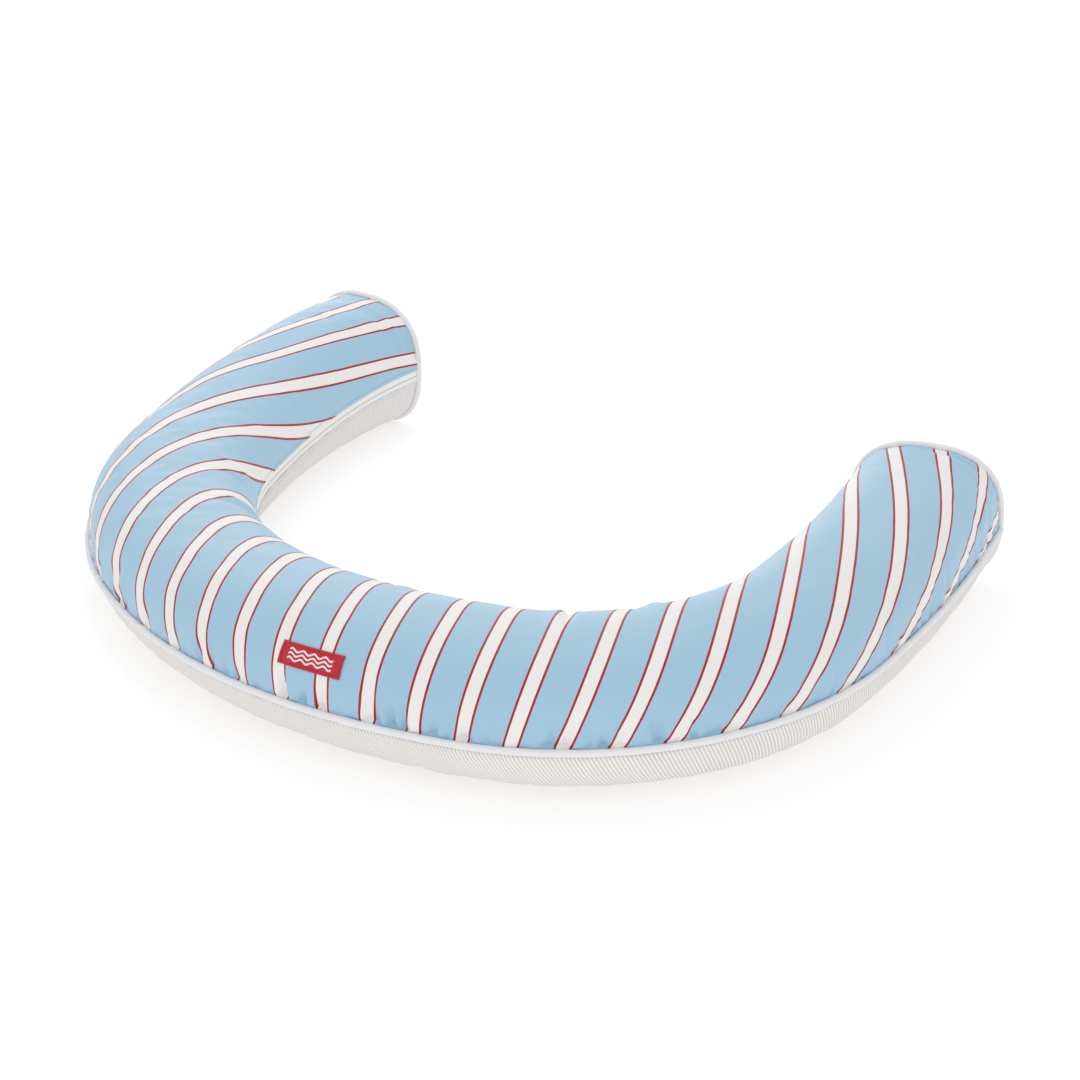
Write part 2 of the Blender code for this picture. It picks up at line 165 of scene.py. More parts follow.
def plan_centre():
    """Middle of the plan's bounding box, from points on both sides of the centre line."""
    s = np.linspace(0, LENGTH, 401)
    x, y, heading = centre_line(s)
    reach = profile(HALF_WIDTHS, s) + PIPING_PROUD + PIPING_RADIUS
    outer = np.stack([x + reach * np.sin(heading), y - reach * np.cos(heading)])
    reach = reach - PIPING_PROUD
    inner = np.stack([x - reach * np.sin(heading), y + reach * np.cos(heading)])
    both = np.concatenate([outer, inner], axis=1)
    return (both.min(axis=1) + both.max(axis=1)) / 2


PLAN_CENTRE = plan_centre()


def place(s, outward, height):
    """Points at length s, a distance to the outer side and a height over the floor."""
    x, y, heading = centre_line(s)
    x = x - PLAN_CENTRE[0] + outward * np.sin(heading)
    y = y - PLAN_CENTRE[1] - outward * np.cos(heading)
    return np.stack(np.broadcast_arrays(x, y, height), axis=-1)


def signed_power(value, power):
    return np.sign(value) * np.abs(value) ** power


def middle_height(s):
    return profile(HALF_HEIGHTS, s) * (1 - FLOOR_SAG)


def section(s, angle, depth=0.0, scale=1.0, lowest=0.0):
    """Outward distance and height of the section; angle 0 is outward and 90 degrees up."""
    outward = (profile(HALF_WIDTHS, s) - depth) * scale * signed_power(np.cos(angle), SQUARENESS)
    rise = (profile(HALF_HEIGHTS, s) - depth) * scale * signed_power(np.sin(angle), SQUARENESS)
    return outward, np.maximum(middle_height(s) + rise, lowest + depth)


def angle_at(s, height):
    """Angle on the outer side where the section has the given height."""
    share = (height - middle_height(s)) / profile(HALF_HEIGHTS, s)
    return np.arcsin(signed_power(share, 1 / SQUARENESS))


DENSE_ANGLES = np.linspace(-pi / 2, 5 * pi / 2, 2161)


def girth_rows(s):
    """Girth at each dense angle, one row for each s."""
    outward, height = section(s[:, None], DENSE_ANGLES)
    steps = np.hypot(np.diff(outward, axis=1), np.diff(height, axis=1))
    length = np.concatenate([np.zeros((len(s), 1)), np.cumsum(steps, axis=1)], axis=1)
    crest = np.abs(DENSE_ANGLES - pi / 2).argmin()
    return length[:, crest:crest + 1] - length


def girth_at(s, angle):
    rows = girth_rows(s)
    return np.array([np.interp(a, DENSE_ANGLES, row) for a, row in zip(angle, rows)])


def angle_of(s, girth):
    rows = girth_rows(s)
    return np.array([np.interp(-g, -row, DENSE_ANGLES) for g, row in zip(girth, rows)])


def eased(share):
    share = np.clip(share, 0, 1)
    return share * share * (3 - 2 * share)


def seam_height(s):
    return SEAM_SHARE * profile(HALF_HEIGHTS, s) * (2 - FLOOR_SAG)


def zip_edge_height(s):
    return ZIP_EDGE_AT_TIP + (ZIP_EDGE - ZIP_EDGE_AT_TIP) * eased(s / ARC_LENGTHS[0])


def zip_centre_height(s):
    return zip_edge_height(s) - UPPER_TAPE - TAPE_SLOT / 2


def zip_opening(s):
    """Share of the full zip width that stands open between the two panels."""
    return 1 - eased((s - ZIP_END) / CLOSING_STRETCH)


def upper_edge_height(s):
    centre = zip_centre_height(s)
    return centre + (zip_edge_height(s) - centre) * zip_opening(s)


def lower_edge_height(s):
    return zip_centre_height(s) - (TAPE_SLOT / 2 + LOWER_TAPE) * zip_opening(s)


# ---------------------------------------------------------------- small numeric tools

def grid_normals(points):
    """Outward unit normals of a grid whose rows run along s and columns from outside inward."""
    along = np.gradient(points, axis=0)
    across = np.gradient(points, axis=1)
    normals = np.cross(along, across)
    return normals / np.maximum(np.linalg.norm(normals, axis=-1, keepdims=True), 1e-12)


def soft_noise(x, y, seed):
    """Smooth random value from -1 to 1 at each point; one random number for each unit square."""
    lattice = np.random.default_rng(seed).uniform(-1, 1, (256, 256))
    column, row = np.floor(x).astype(int), np.floor(y).astype(int)
    fx, fy = eased(x - column), eased(y - row)
    corners = [lattice[(column + i) % 256, (row + j) % 256] for i in (0, 1) for j in (0, 1)]
    low = corners[0] + (corners[1] - corners[0]) * fy
    high = corners[2] + (corners[3] - corners[2]) * fy
    return low + (high - low) * fx


def refine(values, axis):
    """Doubles a grid's density along one axis with a smooth cubic rule; its ends stay put."""
    values = np.moveaxis(values, axis, 0)
    middle = (values[:-1] + values[1:]) / 2
    kept = values.copy()
    kept[1:-1] = (values[:-2] + 6 * values[1:-1] + values[2:]) / 8
    made = np.empty((2 * len(values) - 1, *values.shape[1:]))
    made[0::2], made[1::2] = kept, middle
    return np.moveaxis(made, 0, axis)


def resample(values, rows, shares):
    """Values of a coarse grid at a fine grid's places; both run from 0 to 1 each way."""
    for axis in (0, 1, 0, 1):
        values = refine(values, axis)
    row_places = rows * (values.shape[0] - 1)
    low = np.minimum(row_places.astype(int), values.shape[0] - 2)
    part = (row_places - low)[:, None, None]
    values = values[low] * (1 - part) + values[low + 1] * part
    column_places = shares * (values.shape[1] - 1)
    low = np.minimum(column_places.astype(int), values.shape[1] - 2)
    part = (column_places - low)[None, :, None]
    return values[:, low] * (1 - part) + values[:, low + 1] * part


def crowded(count):
    """Shares from 0 to 1 that stand closer together towards both edges."""
    x = np.linspace(0, 1, count)
    return x - EDGE_CROWDING * np.sin(2 * pi * x) / (2 * pi)


# ---------------------------------------------------------------- meshes

def grid_object(name, points, uv=None, wrap=False):
    """Smooth quad mesh from a grid of points, with an optional UV map in metres."""
    rows, columns = points.shape[:2]
    index = np.arange(rows * columns).reshape(rows, columns)
    if wrap:
        index = np.concatenate([index, index[:, :1]], axis=1)
    quads = np.stack([index[:-1, :-1], index[1:, :-1], index[1:, 1:], index[:-1, 1:]], axis=-1)
    quads = quads.reshape(-1, 4)
    mesh = bpy.data.meshes.new(name)
    mesh.vertices.add(rows * columns)
    mesh.vertices.foreach_set("co", points.astype(np.float32).ravel())
    mesh.loops.add(quads.size)
    mesh.loops.foreach_set("vertex_index", quads.astype(np.int32).ravel())
    mesh.polygons.add(len(quads))
    mesh.polygons.foreach_set("loop_start", np.arange(0, quads.size, 4, dtype=np.int32))
    mesh.update(calc_edges=True)
    if uv is not None:
        flat = np.asarray(uv, float).reshape(rows * columns, 2)[quads.ravel()]
        if wrap:
            flat = flat.reshape(-1, 4, 2)
            turn = flat[:, 2:, 1] < flat[:, 1:2, 1] - 0.001
            flat[:, 2:, 1] += turn * np.ptp(uv[..., 1]) * (columns / (columns - 1))
        layer = mesh.uv_layers.new(name="cloth")
        layer.data.foreach_set("uv", flat.astype(np.float32).ravel())
    mesh.shade_smooth()
    made = bpy.data.objects.new(name, mesh)
    bpy.context.scene.collection.objects.link(made)
    return made


def lay_uv(piece, uv):
    """Gives a piece its flat cloth coordinates, one pair for each vertex in order."""
    layer = piece.data.uv_layers.new(name="cloth")
    order = np.empty(len(piece.data.loops), np.int32)
    piece.data.loops.foreach_get("vertex_index", order)
    layer.data.foreach_set("uv", uv.reshape(-1, 2)[order].astype(np.float32).ravel())


def finish_piece(piece, look, slot, *nodes, body="pillow"):
    piece.data.materials.append(look)
    if nodes:
        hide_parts(*nodes)
    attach(piece, body)
    return piece


def tube_object(name, centres, reference, radius, sides):
    """Tube along a line of centres; reference is a direction across the line at every point."""
    tangent = np.gradient(centres, axis=0)
    tangent /= np.linalg.norm(tangent, axis=1, keepdims=True)
    side = np.cross(tangent, np.broadcast_to(reference, centres.shape))
    side /= np.linalg.norm(side, axis=1, keepdims=True)
    up = np.cross(side, tangent)
    turn = np.linspace(0, 2 * pi, sides, endpoint=False)
    radius = np.broadcast_to(np.asarray(radius, float).reshape(-1, 1, 1), (len(centres), 1, 1))
    ring = np.cos(turn)[None, :, None] * side[:, None] + np.sin(turn)[None, :, None] * up[:, None]
    points = centres[:, None] + radius * ring
    steps = np.linalg.norm(np.diff(centres, axis=0), axis=1)
    length = np.concatenate([[0], np.cumsum(steps)])
    around = turn * PIPING_RADIUS
    uv = np.stack(np.broadcast_arrays(length[:, None], around[None, :]), axis=-1)
    return grid_object(name, points, uv, wrap=True)


def stitch_row(name, line, normals, stitch=0.0024, gap=0.0011, radius=0.00032):
    """Row of sewn stitches, each a small bead of thread lying on the cloth."""
    steps = np.linalg.norm(np.diff(line, axis=0), axis=1)
    length = np.concatenate([[0], np.cumsum(steps)])
    starts = np.arange(gap, length[-1] - stitch, stitch + gap)
    shape = np.array(((0.0, 0.05), (0.12, 0.75), (0.5, 1.0), (0.88, 0.75), (1.0, 0.05)))
    places = starts[:, None] + stitch * shape[:, 0]
    centre = np.stack([np.interp(places, length, line[:, i]) for i in range(3)], axis=-1)
    normal = np.stack([np.interp(places, length, normals[:, i]) for i in range(3)], axis=-1)
    centre = centre + normal * (radius * (shape[:, 1] - 0.4))[None, :, None]
    tangent = centre[:, -1:] - centre[:, :1]
    side = np.cross(tangent, normal)
    side /= np.linalg.norm(side, axis=-1, keepdims=True)
    sides, rings = 6, len(shape)
    turn = np.linspace(0, 2 * pi, sides, endpoint=False)[:, None]
    ring = (np.cos(turn) * side[:, :, None] + np.sin(turn) * normal[:, :, None])
    points = centre[:, :, None] + radius * shape[:, 1][None, :, None, None] * ring
    beads = np.arange(len(starts)) * sides * rings
    first = beads[:, None, None] + (np.arange(rings - 1) * sides)[None, :, None]
    here, there = np.arange(sides), (np.arange(sides) + 1) % sides
    further = first + sides
    quads = np.stack([first + here, further + here, further + there, first + there], axis=-1)
    near_caps = beads[:, None] + here
    far_caps = beads[:, None] + sides * (rings - 1) + here[::-1]
    mesh = bpy.data.meshes.new(name)
    faces = quads.reshape(-1, 4).tolist() + near_caps.tolist() + far_caps.tolist()
    mesh.from_pydata(points.reshape(-1, 3).tolist(), [], faces)
    mesh.shade_smooth()
    made = bpy.data.objects.new(name, mesh)
    bpy.context.scene.collection.objects.link(made)
    return made


# ---------------------------------------------------------------- cloth simulation

def blown(points, pinned, slack, pressure):
    """How far each point of a sheet moves when stuffing blows it up inside its sewn edges.

    pinned marks points that a seam holds, and slack from 0 to 1 is where the cloth is gathered.
    """
    rows, columns = points.shape[:2]
    start = points + grid_normals(points) * rough_start(rows, columns)
    sheet = grid_object("simulated", start)
    held = sheet.vertex_groups.new(name="held")
    for index in np.flatnonzero(pinned):
        held.add([int(index)], 1.0, "REPLACE")
    tight = sheet.vertex_groups.new(name="tight")
    for index, value in enumerate(1 - slack.ravel()):
        tight.add([index], float(value), "REPLACE")
    modifier = sheet.modifiers.new("Cloth", "CLOTH")
    cloth = modifier.settings
    cloth.quality = 6
    cloth.mass = 0.15
    cloth.tension_stiffness = cloth.compression_stiffness = 30
    cloth.shear_stiffness = 12
    cloth.bending_stiffness = 0.6
    cloth.use_pressure = True
    cloth.uniform_pressure_force = pressure
    cloth.vertex_group_mass = "held"
    cloth.vertex_group_shrink = "tight"
    cloth.shrink_min = -0.05
    cloth.shrink_max = -0.002
    cloth.effector_weights.gravity = 0
    modifier.collision_settings.use_collision = False
    modifier.point_cache.frame_start = 1
    modifier.point_cache.frame_end = SIM_FRAMES
    scene = bpy.context.scene
    for number in range(1, SIM_FRAMES + 1):
        scene.frame_set(number)
    settled = sheet.evaluated_get(bpy.context.evaluated_depsgraph_get())
    moved = np.empty(rows * columns * 3, np.float32)
    settled.data.vertices.foreach_get("co", moved)
    scene.frame_set(1)
    bpy.data.objects.remove(sheet)
    return moved.reshape(points.shape).astype(float) - points


def creases(moved, normals, cap):
    """Fine part of a movement, out along the normals and less than cap either way.

    Whatever changes slowly along s, such as the broad swelling, is left out.
    """
    out = (moved * normals).sum(axis=-1)
    slow = out
    for _ in range(SWELL_PASSES):
        longer = np.pad(slow, ((1, 1), (0, 0)), mode="edge")
        slow = (longer[:-2] + 2 * slow + longer[2:]) / 4
    return normals * (cap * np.tanh((out - slow) / cap))[..., None]


def rough_start(rows, columns):
    """Tiny unevenness that lets the gathered cloth choose its folds."""
    row, column = np.mgrid[0:rows, 0:columns]
    return 0.0004 * soft_noise(row / 2.5, column / 5.0, 11)[..., None]


# ---------------------------------------------------------------- materials

class Look:
    """A Principled material with short calls that build its node tree."""

    def __init__(self, name, roughness, sheen=0.0, specular=0.5):
        self.material = bpy.data.materials.new(name)
        self.material.use_nodes = True
        self.tree = self.material.node_tree
        self.shader = self.tree.nodes["Principled BSDF"]
        self.shader.inputs["Roughness"].default_value = roughness
        self.shader.inputs["Sheen Weight"].default_value = sheen
        self.shader.inputs["Sheen Roughness"].default_value = 0.45
        self.shader.inputs["Specular IOR Level"].default_value = specular

    def node(self, kind, **settings):
        made = self.tree.nodes.new(kind)
        for key, value in settings.items():
            setattr(made, key, value)
        return made

    def feed(self, socket, value):
        if isinstance(value, bpy.types.NodeSocket):
            self.tree.links.new(value, socket)
        else:
            socket.default_value = value

    def math(self, operation, *values):
        made = self.node("ShaderNodeMath", operation=operation)
        for socket, value in zip(made.inputs, values):
            self.feed(socket, value)
        return made.outputs[0]

    def cloth_place(self):
        """The two flat coordinates of the cloth, in metres."""
        place_node = self.node("ShaderNodeUVMap", uv_map="cloth")
        split = self.node("ShaderNodeSeparateXYZ")
        self.feed(split.inputs[0], place_node.outputs[0])
        return split.outputs[0], split.outputs[1]

    def joined(self, x, y, z=0.0):
        made = self.node("ShaderNodeCombineXYZ")
        for socket, value in zip(made.inputs, (x, y, z)):
            self.feed(socket, value)
        return made.outputs[0]

    def noise(self, vector, scale, detail=2.0):
        made = self.node("ShaderNodeTexNoise")
        self.feed(made.inputs["Vector"], vector)
        made.inputs["Scale"].default_value = scale
        made.inputs["Detail"].default_value = detail
        return made.outputs["Fac"]

    def object_place(self):
        return self.node("ShaderNodeTexCoord").outputs["Object"]

    def wave(self, x, y, heading, pitch):
        """Ridges from 0 to 1, a pitch apart, along lines at a heading from the y axis."""
        along = self.math("MULTIPLY", x, float(np.cos(heading) * 2 * pi / pitch))
        across = self.math("MULTIPLY", y, float(np.sin(heading) * 2 * pi / pitch))
        swing = self.math("SINE", self.math("ADD", along, across))
        return self.math("MULTIPLY_ADD", swing, 0.5, 0.5)

    def mix(self, share, first, second):
        made = self.node("ShaderNodeMix", data_type="RGBA")
        self.feed(made.inputs["Factor"], share)
        self.feed(made.inputs["A"], first)
        self.feed(made.inputs["B"], second)
        return made.outputs["Result"]

    def shade(self, color, share, low, high):
        """A colour scaled between two brightnesses by a share."""
        level = self.math("MULTIPLY_ADD", share, high - low, low)
        made = self.node("ShaderNodeVectorMath", operation="SCALE")
        self.feed(made.inputs[0], color if isinstance(color, bpy.types.NodeSocket) else color[:3])
        self.feed(made.inputs["Scale"], level)
        return made.outputs[0]

    def paint(self, color):
        self.feed(self.shader.inputs["Base Color"], color)

    def bump(self, height, distance, strength=1.0):
        made = self.node("ShaderNodeBump")
        made.inputs["Strength"].default_value = strength
        made.inputs["Distance"].default_value = distance
        self.feed(made.inputs["Height"], height)
        self.feed(self.shader.inputs["Normal"], made.outputs[0])

    def roughen(self, share, low, high):
        self.feed(self.shader.inputs["Roughness"], self.math("MULTIPLY_ADD", share, high - low, low))


def rgb(red, green, blue):
    return (red, green, blue, 1.0)


def striped_look():
    """Sateen with white stripes edged in dark red, fine twill lines and a soft sheen."""
    look = Look("striped_sateen", 0.45, sheen=0.15, specular=0.45)
    x, y = look.cloth_place()
    waver = look.noise(look.joined(x, y), 300.0)
    shifted = look.math("MULTIPLY_ADD", waver, 0.0003, x)
    phase = look.math("MULTIPLY_ADD", shifted, 1 / STRIPE_PITCH, STRIPE_SHIFT + 0.5 + 50)
    away = look.math("SUBTRACT", look.math("FRACT", phase), 0.5)
    away = look.math("MULTIPLY", look.math("ABSOLUTE", away), STRIPE_PITCH)
    white = look.math("LESS_THAN", away, WHITE_HALF)
    inside = look.math("LESS_THAN", away, RED_HALF)
    color = look.mix(inside, rgb(0.341, 0.544, 0.700), rgb(0.38, 0.001, 0.004))
    color = look.mix(white, color, rgb(0.82, 0.81, 0.785))
    twill = look.wave(x, y, radians(-27), 0.0017)
    yarn = look.noise(look.joined(x, look.math("MULTIPLY", y, 0.2)), 1400.0)
    cloudy = look.noise(look.joined(x, y), 9.0)
    color = look.shade(color, twill, 0.985, 1.015)
    color = look.shade(color, yarn, 0.965, 1.035)
    color = look.shade(color, cloudy, 0.975, 1.025)
    look.paint(color)
    look.roughen(yarn, 0.42, 0.56)
    height = look.math("MULTIPLY_ADD", yarn, 0.5, twill)
    look.bump(height, 0.00006)
    return look.material


def mesh_look():
    """Knitted spacer mesh: slanting ribs, with painted shade darkening the open rows between them."""
    look = Look("spacer_mesh_knit", 0.85, sheen=0.1, specular=0.2)
    x, y = look.cloth_place()
    rib = look.wave(x, y, radians(-20), 0.0029)
    open_row_shade = look.math("SUBTRACT", 1.0, rib)
    fuzz = look.noise(look.joined(x, y), 2500.0)
    # The darker colour in the open rows is painted shade, standing in for the shade inside the holes
    # between the ribs.
    color = look.mix(open_row_shade, rgb(0.90, 0.885, 0.865), rgb(0.66, 0.62, 0.59))
    color = look.shade(color, fuzz, 0.96, 1.04)
    look.paint(color)
    look.roughen(fuzz, 0.75, 0.95)
    height = look.math("MULTIPLY_ADD", fuzz, 0.15, rib)
    look.bump(height, 0.0005)
    return look.material


def woven_look(name, color, pitch, heading, roughness=0.75, sheen=0.1, depth=0.0001):
    """Plain woven cloth: fine ridges both ways at a heading, with a little uneven yarn."""
    look = Look(name, roughness, sheen=sheen, specular=0.25)
    x, y = look.cloth_place()
    first = look.wave(x, y, heading, pitch)
    second = look.wave(x, y, heading + pi / 2, pitch)
    weave = look.math("MULTIPLY", first, second)
    yarn = look.noise(look.joined(x, y), 900.0)
    shaded = look.shade(rgb(*color), weave, 0.95, 1.03)
    shaded = look.shade(shaded, yarn, 0.96, 1.04)
    look.paint(shaded)
    look.roughen(yarn, roughness - 0.08, roughness + 0.08)
    look.bump(look.math("MULTIPLY_ADD", yarn, 0.4, weave), depth)
    return look.material


def thread_look(name, color):
    """Sewing thread: two fine plies with a satin gleam."""
    look = Look(name, 0.5, sheen=0.1, specular=0.4)
    place_node = look.object_place()
    yarn = look.noise(place_node, 2500.0)
    look.paint(look.shade(rgb(*color), yarn, 0.9, 1.08))
    look.roughen(yarn, 0.42, 0.6)
    look.bump(yarn, 0.0001)
    return look.material


def plain_look(name, color, roughness, scale, depth, sheen=0.0, specular=0.4, metallic=0.0):
    """Even surface with fine grain: enamel, nylon, cotton cord or loose fibre."""
    look = Look(name, roughness, sheen=sheen, specular=specular)
    look.shader.inputs["Metallic"].default_value = metallic
    grain = look.noise(look.object_place(), scale, 3.0)
    broad = look.noise(look.object_place(), scale / 12)
    look.paint(look.shade(look.shade(rgb(*color), grain, 0.96, 1.04), broad, 0.97, 1.02))
    look.roughen(grain, roughness - 0.06, roughness + 0.06)
    look.bump(grain, depth)
    return look.material


def label_look():
    """Red damask ribbon with a woven white motif: three rows of little waves."""
    look = Look("label_damask", 0.55, sheen=0.2, specular=0.35)
    x, y = look.cloth_place()
    bend = look.math("MULTIPLY", look.math("SINE", look.math("MULTIPLY", x, 2 * pi / 0.0120)), 0.0014)
    level = look.math("SUBTRACT", y, bend)
    row = look.math("ABSOLUTE", look.math("SUBTRACT", look.math("FRACT", look.math(
        "MULTIPLY_ADD", level, 1 / 0.0044, 10.5)), 0.5))
    line = look.math("LESS_THAN", row, 0.23)
    for value, half in ((x, 0.0235), (level, 0.0062)):
        line = look.math("MULTIPLY", line, look.math("LESS_THAN", look.math("ABSOLUTE", value), half))
    weft = look.wave(x, y, radians(90), 0.0006)
    warp = look.wave(x, y, 0.0, 0.0008)
    color = look.mix(line, rgb(0.56, 0.012, 0.028), rgb(0.86, 0.82, 0.80))
    color = look.shade(color, look.math("MULTIPLY", weft, warp), 0.92, 1.05)
    look.paint(color)
    look.roughen(weft, 0.45, 0.62)
    look.bump(look.math("MULTIPLY_ADD", line, 0.6, look.math("MULTIPLY", weft, warp)), 0.00015)
    return look.material


striped_cloth = striped_look()
spacer_mesh = mesh_look()
piping_cloth = woven_look("piping_bias_cloth", (0.83, 0.825, 0.845), 0.0009, radians(45))
tape_cloth = woven_look("zip_tape_weave", (0.89, 0.88, 0.85), 0.0008, radians(30))
label_cloth = label_look()
blue_thread = thread_look("blue_thread", (0.30, 0.47, 0.66))
white_thread = thread_look("white_thread", (0.62, 0.59, 0.57))
red_thread = thread_look("red_thread", (0.42, 0.008, 0.018))
enamel = plain_look("white_enamel", (0.80, 0.80, 0.79), 0.25, 260.0, 0.00003, specular=0.5)
nylon = plain_look("nylon_coil", (0.72, 0.72, 0.70), 0.35, 900.0, 0.00005, specular=0.5)
cotton_cord = plain_look("cotton_cord", (0.84, 0.83, 0.79), 0.85, 1500.0, 0.0003, sheen=0.2)
percale = plain_look("casing_percale", (0.84, 0.84, 0.82), 0.8, 1800.0, 0.0001, sheen=0.1)
loose_fibre = plain_look("loose_fibre", (0.88, 0.88, 0.86), 0.95, 350.0, 0.0015, sheen=0.3)


# ---------------------------------------------------------------- top cover

def pattern_uv(s, girth):
    """Flat position in the printed cloth: across the stripes, then along them."""
    fine = np.linspace(0, LENGTH, 1200)
    turned = np.clip(fine[:, None] - KNOTS[:-1], 0, ARC_LENGTHS) @ STRIPE_TURNS
    heading = STRIPE_HEADING + turned
    step = np.diff(fine)
    x = np.concatenate([[0], np.cumsum((np.cos(heading[1:]) + np.cos(heading[:-1])) / 2 * step)])
    y = np.concatenate([[0], np.cumsum((np.sin(heading[1:]) + np.sin(heading[:-1])) / 2 * step)])
    across = np.interp(s, fine, x) + girth * np.interp(s, fine, np.sin(heading))
    reach = 1.5 * np.tanh(girth / BOW_REACH)
    across += profile(STRIPE_BOW, s) * reach ** 2 + profile(STRIPE_TWIST, s) * reach ** 3
    pull_s, pull_girth = (s - PULL_S) / PULL_S_REACH, (girth - PULL_GIRTH) / PULL_GIRTH_REACH
    across += STRIPE_PULL * np.exp(-pull_s ** 2 - pull_girth ** 2)
    near_rim = eased(1 - (LENGTH - s) / RIM_SHIFT_LENGTH)
    across += RIM_SHIFT * near_rim * eased((girth - RIM_SHIFT_FROM) / RIM_SHIFT_FADE)
    along = np.interp(s, fine, y) - girth * np.interp(s, fine, np.cos(heading))
    return np.stack([across, along], axis=-1)


def seam_gathers(s, distance, seed, pitch, reach, depth):
    """Small puckers that stand square to a seam and die away from it."""
    distance = np.maximum(distance, 0)
    lean = 0.004 * soft_noise(s / 0.05, distance / 0.03, seed + 1)
    wave = soft_noise((s + lean) / pitch, distance / 0.10, seed)
    length = reach * (0.65 + 0.35 * soft_noise(s / (1.6 * pitch), 0 * s, seed + 2))
    return depth * wave * np.exp(-(distance / length) ** 1.5)


# Puckers: their pitch and its unevenness, widths, lengths, greatest depth, lean and fade at the seam.
PUCKER_PITCH, PUCKER_WANDER = 0.0098, 0.004
PUCKER_WIDTHS, PUCKER_LENGTHS = (0.0030, 0.0054), (0.014, 0.036)
PUCKER_DEPTH, PUCKER_LEAN, PUCKER_FADE = 0.0088, 0.2, 0.005


def puckers(s, distance, strength, seed):
    """Deeper single folds square to a seam, at uneven places along it and of uneven length."""
    random = np.random.default_rng(seed)
    lift = np.zeros(s.shape)
    for middle in np.arange(0.008, LENGTH - 0.004, PUCKER_PITCH):
        middle += random.uniform(-PUCKER_WANDER, PUCKER_WANDER)
        width, length = random.uniform(*PUCKER_WIDTHS), random.uniform(*PUCKER_LENGTHS)
        away = (s - middle - random.uniform(-PUCKER_LEAN, PUCKER_LEAN) * distance) / width
        depth = PUCKER_DEPTH * random.uniform(0, 1) ** 1.3 * np.interp(middle, *strength)
        lift -= depth * (1 - 0.5 * away ** 2) * np.exp(-away ** 2 / 2 - (distance / length) ** 2)
    return lift * eased(distance / PUCKER_FADE)


def fold(s, girth, start, end, width, height):
    """A long soft ridge, or a valley if height is negative, between two places on the cloth."""
    start, end = np.array(start), np.array(end)
    line = end - start
    x, y = s - start[0], girth - start[1]
    share = np.clip((x * line[0] + y * line[1]) / (line @ line), 0, 1)
    away = np.hypot(x - share * line[0], y - share * line[1])
    return height * np.exp(-(away / width) ** 2) * np.sin(pi * np.clip(share, 0.04, 0.96)) ** 0.7


# How strongly the top cover is puckered along its outer seam: places along s, and strengths.
SEAM_BUSY = ((0.0, 0.10, 0.60, 0.95, 1.05, 1.26, 1.36, 1.60, 1.72, 1.87),
             (0.7, 0.30, 0.35, 0.60, 1.00, 1.00, 0.35, 0.30, 0.45, 0.42))

# Folds in the top cover: start and end as (s, girth), width and height.
TOP_FOLDS = (
    ((0.680, -0.105), (0.650, -0.030), 0.007, -0.0022),
    ((0.668, -0.105), (0.632, -0.045), 0.006, 0.0016),
    ((0.560, -0.110), (0.545, -0.030), 0.008, -0.0016),
    ((0.525, -0.110), (0.505, -0.045), 0.007, 0.0012),
    ((1.222, -0.130), (1.222, -0.004), 0.006, -0.0036),
    ((1.212, -0.120), (1.205, 0.010), 0.008, 0.0016),
    ((1.329, -0.110), (1.329, -0.020), 0.007, 0.0022),
    ((1.300, -0.110), (1.306, -0.030), 0.008, -0.0016),
    ((0.995, -0.120), (0.995, -0.045), 0.007, -0.0022),
    ((1.010, -0.120), (1.012, -0.050), 0.007, 0.0014),
    ((1.862, -0.005), (1.858, 0.075), 0.004, -0.0034),
    ((1.853, 0.000), (1.848, 0.070), 0.005, 0.0014),
    ((1.848, 0.010), (1.836, 0.085), 0.005, 0.0016),
    ((1.846, 0.070), (1.770, 0.112), 0.006, -0.0022),
    ((1.835, 0.090), (1.745, 0.125), 0.006, 0.0018),
    ((1.800, 0.120), (1.700, 0.135), 0.005, -0.0020),
    ((0.045, -0.020), (0.040, -0.110), 0.006, -0.0016),
    ((0.030, -0.010), (0.028, -0.120), 0.005, 0.0014),
)


def edge_roll(points, normals, last):
    """Three more columns that turn a cloth's edge under, at its last or its first column."""
    edge, inside = (points[:, -1], points[:, -3]) if last else (points[:, 0], points[:, 2])
    normal = normals[:, -1] if last else normals[:, 0]
    outward = edge - inside
    outward /= np.linalg.norm(outward, axis=1, keepdims=True)
    rolled = [edge + outward * a - normal * b
              for a, b in ((0.0004, 0.0003), (0.0004, 0.0009), (-0.0030, 0.0012))]
    return np.stack(rolled if last else rolled[::-1], axis=1)


def with_rolls(points, uv, normals):
    """The grid with both long edges turned under; the turned cloth keeps its edge's UV."""
    first, last = edge_roll(points, normals, False), edge_roll(points, normals, True)
    uv = np.concatenate([uv[:, :1]] * 3 + [uv] + [uv[:, -1:]] * 3, axis=1)
    return np.concatenate([first, points, last], axis=1), uv


def sheet_places(pitch, shares, edges):
    """s and girth of a cover's grid, with edges(s) giving its first and last girth."""
    s = np.linspace(EDGE_FROM_END, LENGTH - EDGE_FROM_END, round(LENGTH / pitch))
    first, last = edges(s)
    girth = first[:, None] + (last - first)[:, None] * shares
    return s, girth


def surface(s, girth):
    angle = angle_of(s, girth)
    wide = np.broadcast_to(s[:, None], girth.shape)
    return place(wide, *section(wide, angle))


def settle(edges, slack, shares, rows, cap, pressure, rests=None):
    """Blows up a coarse copy of a cover and returns its movement on the finished grid."""
    s, girth = sheet_places(SIM_PITCH, np.linspace(0, 1, SIM_COLUMNS), edges)
    points = surface(s, girth)
    pinned = np.zeros(girth.shape, bool)
    pinned[:2] = pinned[-2:] = True
    pinned[:, 0] = pinned[:, -1] = True
    if rests is not None:
        pinned |= rests(points)
    moved = blown(points, pinned, slack(s, girth, edges), pressure)
    moved = creases(moved, grid_normals(points), cap)
    return resample(moved, np.linspace(0, 1, rows), shares)


def top_edges(s):
    return girth_at(s, angle_at(s, seam_height(s) + EDGE_FROM_SEAM)), \
        girth_at(s, pi - angle_at(s, upper_edge_height(s)))


